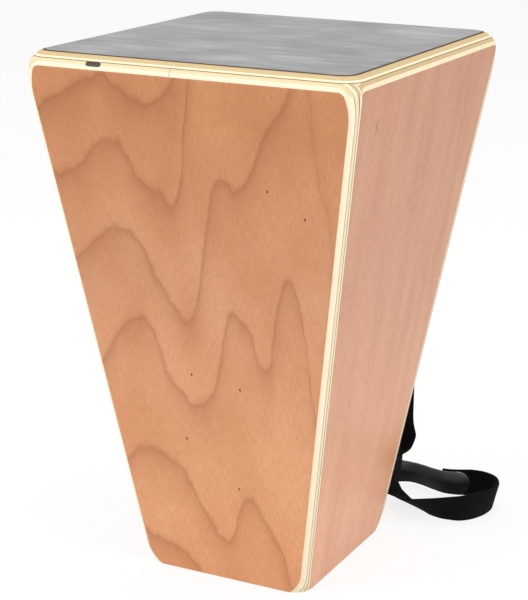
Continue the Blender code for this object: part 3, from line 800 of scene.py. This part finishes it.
# A route's points are the middle of the strap in metres, then the way its width points: turn and lift,
# in degrees.
LOWER_TAB_ROUTE = [
    (0.018, 0.1075, 0.0435, 90, 82),
    (0.036, 0.117, 0.039, 110, 86),
    (0.046, 0.136, 0.033, 170, 87),
    (0.0475, 0.159, 0.0265, -170, 86),
    (0.049, 0.180, 0.0205, -140, 82),
    (0.0555, 0.197, 0.0166, -100, 76),
    (0.068, 0.205, 0.015, -80, 73),
    (0.082, 0.203, 0.0149, -75, 73),
    (0.096, 0.198, 0.0151, -76, 75),
    (0.110, 0.1945, 0.0153, -80, 80),
    (0.123, 0.197, 0.0154, -85, 84),
    (0.1355, 0.203, 0.0154, -90, 86),
]


def smooth(values):
    """A smooth curve through vectors, with ROUTE_STEPS steps between two of them."""
    found = []
    for i in range(len(values) - 1):
        a = values[max(i - 1, 0)]
        b, c = values[i], values[i + 1]
        d = values[min(i + 2, len(values) - 1)]
        bend = 2 * a - 5 * b + 4 * c - d
        swing = 3 * b - a - 3 * c + d
        for k in range(ROUTE_STEPS):
            t = k / ROUTE_STEPS
            found.append(0.5 * (2 * b + (c - a) * t + bend * t**2 + swing * t**3))
    found.append(values[-1])
    return found


def same_side(ways):
    """Keeps neighbouring width directions from pointing opposite ways."""
    for i in range(1, len(ways)):
        if ways[i].dot(ways[i - 1]) < 0:
            ways[i] = -ways[i]
    return ways


def route(rows):
    """A smooth line through a route's points, and the width's direction all along it."""
    ways = []
    for row in rows:
        way, lift = math.radians(row[3]), math.radians(row[4])
        ways.append(Vector((math.cos(lift) * math.cos(way), math.cos(lift) * math.sin(way), math.sin(lift))))
    return smooth([Vector(row[:3]) for row in rows]), [way.normalized() for way in smooth(same_side(ways))]


def band_frames(points, ways):
    """At each point: the middle, the width's direction and the face's direction."""
    frames = []
    for i, point in enumerate(points):
        along = (points[min(i + 1, len(points) - 1)] - points[max(i - 1, 0)]).normalized()
        face = along.cross(ways[i]).normalized()
        frames.append((point, face.cross(along).normalized(), face))
    return frames


def lengths_along(points):
    """The running length of a line at each of its points."""
    total = [0.0]
    for a, b in zip(points, points[1:]):
        total.append(total[-1] + (b - a).length)
    return total


def run_of(frames):
    return lengths_along([point for point, wide, face in frames])


def spot_along(run, s):
    """Where a length s falls: the index of the point before it, and the share of the step beyond."""
    i = max(j for j in range(len(run)) if run[j] <= s + 1e-9)
    i = min(i, len(run) - 2)
    return i, (s - run[i]) / (run[i + 1] - run[i])


def band(name, frames, widths, thickness, edge, *finishes):
    """A flat band with rounded edges, swept along its frames; its UV map is in metres of cloth."""
    outline = []
    for side in (1, -1):
        for k in range(BAND_CORNERS + 1):
            angle = math.pi * (k / BAND_CORNERS - 0.5)
            outline.append((side, math.cos(angle) * edge, side * math.sin(angle) * thickness / 2))
    bm = bmesh.new()
    uv = bm.loops.layers.uv.new("cloth")
    run = run_of(frames)
    rings = []
    for (point, wide, face), width in zip(frames, widths):
        ring = []
        for side, out_by, height in outline:
            across = side * (width / 2 - edge + out_by)
            ring.append((bm.verts.new(point + wide * across + face * height), across))
        rings.append(ring)
    count = len(outline)
    for r in range(len(rings) - 1):
        for i in range(count):
            j = (i + 1) % count
            corners = (
                (*rings[r][i], run[r]),
                (*rings[r][j], run[r]),
                (*rings[r + 1][j], run[r + 1]),
                (*rings[r + 1][i], run[r + 1]),
            )
            made = bm.faces.new([vert for vert, across, at in corners])
            for loop, (vert, across, at) in zip(made.loops, corners):
                loop[uv].uv = (across, at)
    for ring, at in ((rings[0], run[0]), (rings[-1], run[-1])):
        made = bm.faces.new([vert for vert, across in ring])
        for loop, (vert, across) in zip(made.loops, ring):
            loop[uv].uv = (across, at)
    bmesh.ops.recalc_face_normals(bm, faces=bm.faces[:])
    return new_piece(name, bm, BAND_SHARP, *finishes)


def half_round(distance):
    """A tab's width at a distance from its half-round end."""
    r = TAB_WIDTH / 2
    if distance >= r:
        return TAB_WIDTH
    return 2 * math.sqrt(max(r * r - (r - distance) ** 2, (BLUNT_TIP * r) ** 2))


def tab_piece(name, points, ways):
    """A tab along a line, with more points at its round ends; with it come its frames."""
    run = lengths_along(points)
    degrees = range(ROUND_END_STEP, 91, ROUND_END_STEP)
    wanted = [TAB_WIDTH / 2 * (1 - math.cos(math.radians(a))) for a in degrees]
    wanted += [run[-1] - s for s in wanted]
    between = [s for s in run if TAB_WIDTH / 2 < s < run[-1] - TAB_WIDTH / 2]
    fine_points, fine_ways = [], []
    for s in sorted(set([0.0, run[-1]] + wanted + between)):
        i, t = spot_along(run, s)
        fine_points.append(points[i].lerp(points[i + 1], t))
        fine_ways.append(ways[i].lerp(ways[i + 1], t).normalized())
    frames = band_frames(fine_points, fine_ways)
    run = run_of(frames)
    widths = [min(half_round(s), half_round(run[-1] - s)) for s in run]
    return band(name, frames, widths, TAB, TAB_EDGE), frames


def button_hole(tab, place, slit_way):
    """The round hole over the button's neck, with the slit that lets its head through."""
    hole = bmesh.new()
    round_bar = {"segments": HOLE_SIDES, "radius1": HOLE_R, "radius2": HOLE_R, "depth": CUTTER_DEPTH}
    bmesh.ops.create_cone(hole, cap_ends=True, **round_bar)
    slit = bmesh.new()
    bmesh.ops.create_cube(slit, size=1.0)
    bmesh.ops.scale(slit, verts=slit.verts, vec=(SLIT_LENGTH + HOLE_R, SLIT_WIDTH, CUTTER_DEPTH))
    bmesh.ops.translate(slit, verts=slit.verts, vec=((SLIT_LENGTH + HOLE_R) / 2, 0, 0))
    for bm in (hole, slit):
        bmesh.ops.translate(bm, verts=bm.verts, vec=(0, 0, TAB_SEAT))
        bm.transform(place @ Matrix.Rotation(slit_way, 4, "Z"))
        mesh = bpy.data.meshes.new("cutter")
        bm.to_mesh(mesh)
        bm.free()
        cutter = bpy.data.objects.new("cutter", mesh)
        bpy.context.scene.collection.objects.link(cutter)
        cut = tab.modifiers.new("Cut", "BOOLEAN")
        cut.operation = "DIFFERENCE"
        cut.solver = "EXACT"
        cut.object = cutter
        bpy.context.view_layer.objects.active = tab
        bpy.ops.object.modifier_apply(modifier=cut.name)
        bpy.data.objects.remove(cutter)


def cloth_place(tree):
    """Across and along the cloth, in metres."""
    cloth = tree.nodes.new("ShaderNodeUVMap")
    cloth.uv_map = "cloth"
    return split(tree, cloth.outputs[0])[:2]


points = [seat(UPPER_BUTTON) @ Vector((0, share * TAB_OVERHANG, TAB_SEAT)) for share in UPPER_HEAD]
for i in range(1, TAB_BEND_STEPS + 1):
    tilt = LEAN_Y * (1 - i / TAB_BEND_STEPS)
    points.append(points[-1] + Vector((0, -math.sin(tilt), -math.cos(tilt))) * TAB_BEND / TAB_BEND_STEPS)
plumb = Vector((0, 0, -1)) * (UPPER_TAB_DROP - TAB_OVERHANG - TAB_BEND)
for i in range(TAB_PLUMB_STEPS):
    points.append(points[-1] + plumb / TAB_PLUMB_STEPS)
upper_tab, upper_frames = tab_piece("upper_tab", points, [Vector((1, 0, 0))] * len(points))
button_hole(upper_tab, seat(UPPER_BUTTON), math.radians(90))

points, ways = route(LOWER_TAB_ROUTE)
head = [seat(LOWER_BUTTON) @ Vector((share * TAB_OVERHANG, 0, TAB_SEAT)) for share in LOWER_HEAD]
panel_up = Vector((0, math.sin(LEAN_Y), math.cos(LEAN_Y)))
lower_tab, lower_frames = tab_piece("lower_tab", head + points, [panel_up] * len(head) + ways)
button_hole(lower_tab, seat(LOWER_BUTTON), 0.0)

leather_black, tree, shader = new_finish("black_leather")
across, along = cloth_place(tree)
hide = spread(tree, across, along, 0)
pebble = tree.nodes.new("ShaderNodeTexVoronoi")
tree.links.new(hide, pebble.inputs["Vector"])
pebble.inputs["Scale"].default_value = 900
crease = mottle(tree, hide, 160, detail=5.0, roughness=0.6)
leather_colour = dyed_steps(tree, crease, ((0.3, 3, 3, 4), (0.6, 7, 7, 8), (0.8, 16, 16, 18)))
# Painted highlight: the black leather turns grey towards one long edge of each tab, where the light falls.
painted_highlight = rising(tree, reckon(tree, "MULTIPLY_ADD", crease, 0.006, across), 0.003, 0.014)
tree.links.new(stain(tree, painted_highlight, leather_colour, dye(92, 92, 94)), shader.inputs["Base Color"])
shader.inputs["Specular IOR Level"].default_value = 0.1
tree.links.new(reckon(tree, "MULTIPLY_ADD", crease, 0.25, 0.28), shader.inputs["Roughness"])
relief(tree, shader, reckon(tree, "MULTIPLY_ADD", crease, 0.8, pebble.outputs["Distance"]), 0.0002, 0.5)

# Painted highlight: the cut edge round each tab's tip is painted pale grey, where it catches the light.
tip_edge_highlight, tree, shader = new_finish("leather_tip_painted_highlight")
fuzz = mottle(tree, object_place(tree), 1400)
tree.links.new(dyed_steps(tree, fuzz, ((0.3, 96, 94, 90), (0.7, 168, 165, 158))), shader.inputs["Base Color"])
shader.inputs["Roughness"].default_value = 0.85
relief(tree, shader, fuzz, 0.0002, 0.5)

for tab, frames in ((upper_tab, upper_frames), (lower_tab, lower_frames)):
    tab.data.materials.append(leather_black)
    tab.data.materials.append(tip_edge_highlight)
    # Edge faces near the tip get the painted highlight; the rest stay black leather.
    tip = frames[-1][0]
    for face in tab.data.polygons:
        nearest = min(frames, key=lambda f: (f[0] - face.center).length)
        on_edge = abs(face.normal.dot(nearest[2])) < 0.5
        if on_edge and (face.center - tip).length < TIP_HIGHLIGHT_REACH:
            face.material_index = 1

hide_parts("upper_strap_tab")
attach(upper_tab, "upper_strap_end")
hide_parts("lower_strap_tab")
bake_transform(lower_tab)

# The stitches that hold the webbing to each tab: black thread in short slanted runs, in two rows along
# the lap and one across it.

LAP = 0.030
STITCH = 0.0042
STITCH_R = 0.00032
STITCH_RISE = 0.0001
STITCH_SLANT = 0.0003
LONG_RUN = STITCH * 0.7
CROSS_RUN = STITCH * 0.6
FIRST_STITCH = 0.002
LAST_STITCH = TAB_WIDTH * 0.34
ROW_OUT = TAB_WIDTH * 0.34
CROSS_FROM = TAB_WIDTH * -0.30
CROSS_TO = TAB_WIDTH * 0.28

thread_black, tree, shader = new_finish("black_thread")
twist = mottle(tree, object_place(tree), 2200, detail=2.0)
tree.links.new(dyed_steps(tree, twist, ((0.3, 20, 20, 22), (0.7, 58, 58, 62))), shader.inputs["Base Color"])
shader.inputs["Roughness"].default_value = 0.6


def stitches(name, frames, side, body):
    """Rows of stitches over the last stretch of a tab, on one of its faces."""
    run = run_of(frames)

    def at(s, across_by):
        i, t = spot_along(run, s)
        point, wide, face = (a.lerp(b, t) for a, b in zip(frames[i], frames[i + 1]))
        return point + wide.normalized() * across_by + face.normalized() * side * (TAB / 2 + STITCH_RISE)

    first = run[-1] - LAP + FIRST_STITCH
    pairs = []
    s = first
    while s + LONG_RUN < run[-1] - LAST_STITCH:
        for row in (-ROW_OUT, ROW_OUT):
            pairs.append((at(s, row), at(s + LONG_RUN, row + STITCH_SLANT)))
        s += STITCH
    row = CROSS_FROM
    while row < CROSS_TO:
        pairs.append((at(first, row), at(first + STITCH_SLANT, row + CROSS_RUN)))
        row += STITCH
    bm = bmesh.new()
    for a, b in pairs:
        ball = bmesh.ops.create_uvsphere(bm, u_segments=8, v_segments=6, radius=1.0)["verts"]
        turned_to = (b - a).normalized().to_track_quat("X", "Z").to_matrix().to_4x4()
        slim = Matrix.Diagonal(((b - a).length / 2, STITCH_R, STITCH_R, 1))
        bmesh.ops.transform(bm, matrix=Matrix.Translation((a + b) / 2) @ turned_to @ slim, verts=ball)
    thing = new_piece(name, bm, None, thread_black)
    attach(thing, body)
    return thing


upper_stitches = stitches("upper_stitches", upper_frames, -1, "upper_strap_end")
lower_stitches = stitches("lower_stitches", lower_frames, 1, "root")

# Webbing: woven black tape, 30 mm wide, sewn at both ends to the back of a tab. It hangs straight down
# the drum's back, twists, stands in a loop on the floor and meets the lower tab.

WEBBING_WIDTH = 0.030
WEBBING = 0.0018
WEBBING_EDGE = WEBBING * 0.5
WEBBING_RIB = 0.0011
WEBBING_PICK = 0.0009
RIB_SKEW = 1.1
LAP_GAP = 0.0003
TAIL_SHORT = TAB_WIDTH * 0.1
WEBBING_ROUTE = [
    (0.072, 0.1618, 0.312, 0, 0),
    (0.072, 0.1624, 0.275, 0, 0),
    (0.072, 0.1628, 0.235, -2, 0),
    (0.0722, 0.163, 0.190, -8, 0),
    (0.0725, 0.163, 0.134, -14, 0),
    (0.0728, 0.1632, 0.112, -17, 0),
    (0.0733, 0.1635, 0.096, -20, 0),
    (0.0735, 0.1638, 0.087, -16, 0),
    (0.0736, 0.164, 0.079, -5, 0),
    (0.0737, 0.164, 0.074, 3, 0),
    (0.0737, 0.164, 0.0695, -8, 0),
    (0.0735, 0.164, 0.065, -24, 0),
    (0.0724, 0.164, 0.060, -46, 0),
    (0.0714, 0.164, 0.056, -66, 0),
    (0.0696, 0.164, 0.052, -84, 0),
    (0.068, 0.1638, 0.044, -91, 0),
    (0.0667, 0.1632, 0.033, -93, 0),
    (0.0661, 0.162, 0.022, -90, 0),
    (0.0662, 0.1608, 0.0145, -89, 0),
    (0.068, 0.160, 0.009, -100, 9),
    (0.0754, 0.1559, 0.007, -114, 20),
    (0.085, 0.147, 0.008, -117, 26),
    (0.0943, 0.1382, 0.0091, -118, 31),
    (0.1032, 0.1326, 0.0104, -117, 37),
    (0.1112, 0.1294, 0.012, -116, 45),
    (0.1214, 0.128, 0.0133, -113, 54),
    (0.131, 0.1282, 0.0143, -108, 62),
    (0.1426, 0.131, 0.0153, -95, 72),
    (0.152, 0.1365, 0.0154, -70, 80),
    (0.160, 0.146, 0.0154, -50, 84),
    (0.1662, 0.1565, 0.0153, -28, 81),
    (0.1703, 0.168, 0.0152, -12, 78),
    (0.1715, 0.182, 0.0151, 5, 76),
    (0.1645, 0.199, 0.0153, 15, 84),
    (0.150, 0.2082, 0.0154, -88, 84),
    (0.136, 0.2073, 0.0154, -86, 84),
]

webbing_black, tree, shader = new_finish("woven_black_webbing")
across, along = cloth_place(tree)
rib = reckon(tree, "SINE", reckon(tree, "MULTIPLY", across, 2 * math.pi / WEBBING_RIB))
pick = reckon(tree, "SINE", summed(tree, (along, 2 * math.pi / WEBBING_PICK), (rib, RIB_SKEW)))
weave = summed(tree, (rib, 0.5), (pick, 0.5))
wear = mottle(tree, spread(tree, (across, 300), (along, 90), 0))
tone = reckon(tree, "MULTIPLY_ADD", weave, 0.16, wear)
cloth_colour = dyed_steps(tree, tone, ((0.2, 2, 2, 3), (0.55, 7, 7, 9), (0.9, 16, 16, 19)))
tree.links.new(cloth_colour, shader.inputs["Base Color"])
shader.inputs["Roughness"].default_value = 0.85
shader.inputs["Specular IOR Level"].default_value = 0.12
relief(tree, shader, weave, 0.0002, 0.7)

lap_offset = (TAB + WEBBING) / 2 + LAP_GAP
run = run_of(upper_frames)
head = [f for f, s in zip(upper_frames, run) if run[-1] - LAP <= s]
run = run_of(lower_frames)
tail = [f for f, s in zip(lower_frames, run) if run[-1] - LAP <= s <= run[-1] - TAIL_SHORT]
tail.reverse()
points, ways = route(WEBBING_ROUTE)
strap_line = [point + face * lap_offset for point, wide, face in head]
strap_line += points
strap_line += [point - face * lap_offset for point, wide, face in tail]
ways = same_side([wide for point, wide, face in head] + ways + [wide for point, wide, face in tail])
strap_frames = band_frames(strap_line, ways)
strap_widths = [WEBBING_WIDTH] * len(strap_frames)
strap = band("strap", strap_frames, strap_widths, WEBBING, WEBBING_EDGE, webbing_black)
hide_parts("strap_webbing")
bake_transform(strap)
